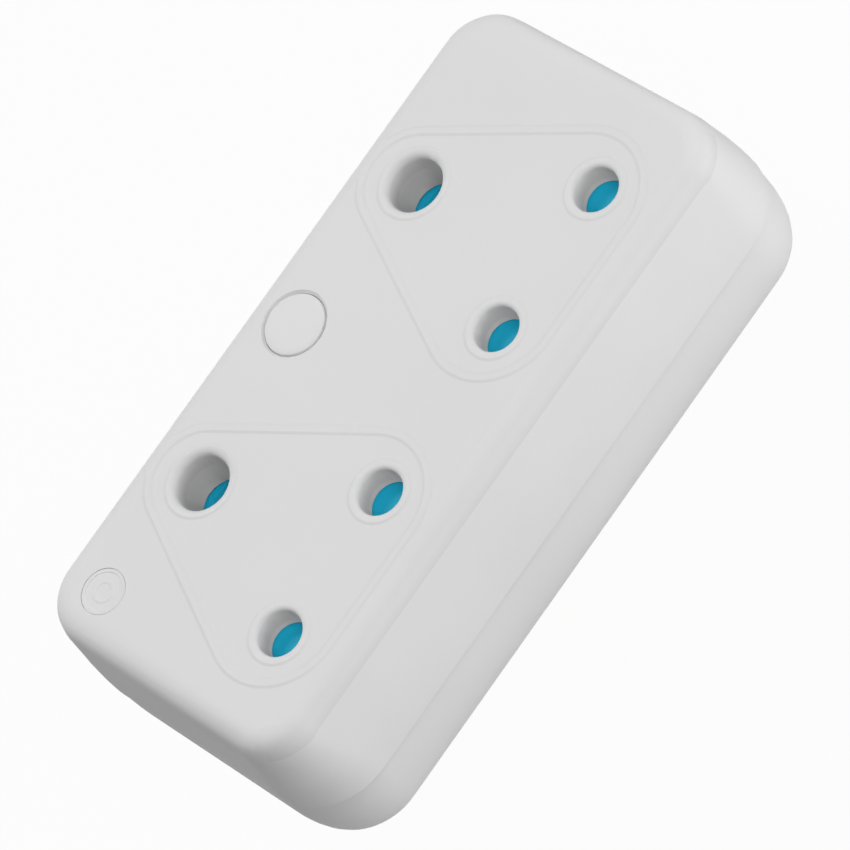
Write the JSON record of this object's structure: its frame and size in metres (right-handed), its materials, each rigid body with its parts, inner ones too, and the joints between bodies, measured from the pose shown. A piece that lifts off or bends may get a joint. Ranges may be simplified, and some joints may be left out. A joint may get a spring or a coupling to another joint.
{
  "type": "multi socket adapter",
  "caption": "Plug-in mains adapter: oblong pale housing with round-pin outlets side by side on its front, blue sliding shutters inside and a round-pin plug at the back.",
  "frame": {"origin": "centre of the flat back face of the housing, on the plane that meets the wall socket", "axes": "+Z from the back face to the outlet face, +X along the long side, +Y towards the earth entries"},
  "size_m": [0.1186, 0.0598, 0.0612],
  "materials": {
    "white_shell": "satin",
    "shutter_blue": "satin",
    "carrier_plastic": "matte",
    "brass": "satin",
    "plated_steel": "satin"
  },
  "bodies": {
    "housing": {"front_cover": "white_shell", "rear_cover": "white_shell", "screw_cap": "white_shell", "centre_screw": "plated_steel", "earth_bar": "brass", "live_bar": "brass", "neutral_bar": "brass", "earth_pin": "brass", "live_pin": "brass", "neutral_pin": "brass", "shutter_spring_1": "plated_steel", "contact_carrier_1": "carrier_plastic", "earth_contact_1": "brass", "live_contact_1": "brass", "neutral_contact_1": "brass", "shutter_spring_2": "plated_steel", "contact_carrier_2": "carrier_plastic", "earth_contact_2": "brass", "live_contact_2": "brass", "neutral_contact_2": "brass"},
    "shutter_1": {"shutter_1": "shutter_blue"},
    "shutter_2": {"shutter_2": "shutter_blue"}
  },
  "joints": [
    {"name": "shutter_1_slide", "type": "slide", "parent": "housing", "child": "shutter_1", "axis": [0, 1, 0], "range_m": [0, 0.0074], "stiffness_N_per_m": 120, "springref_m": -0.003, "deforming": ["shutter_spring_1"]},
    {"name": "shutter_2_slide", "type": "slide", "parent": "housing", "child": "shutter_2", "axis": [0, 1, 0], "range_m": [0, 0.0074], "stiffness_N_per_m": 120, "springref_m": -0.003, "deforming": ["shutter_spring_2"]}
  ]
}
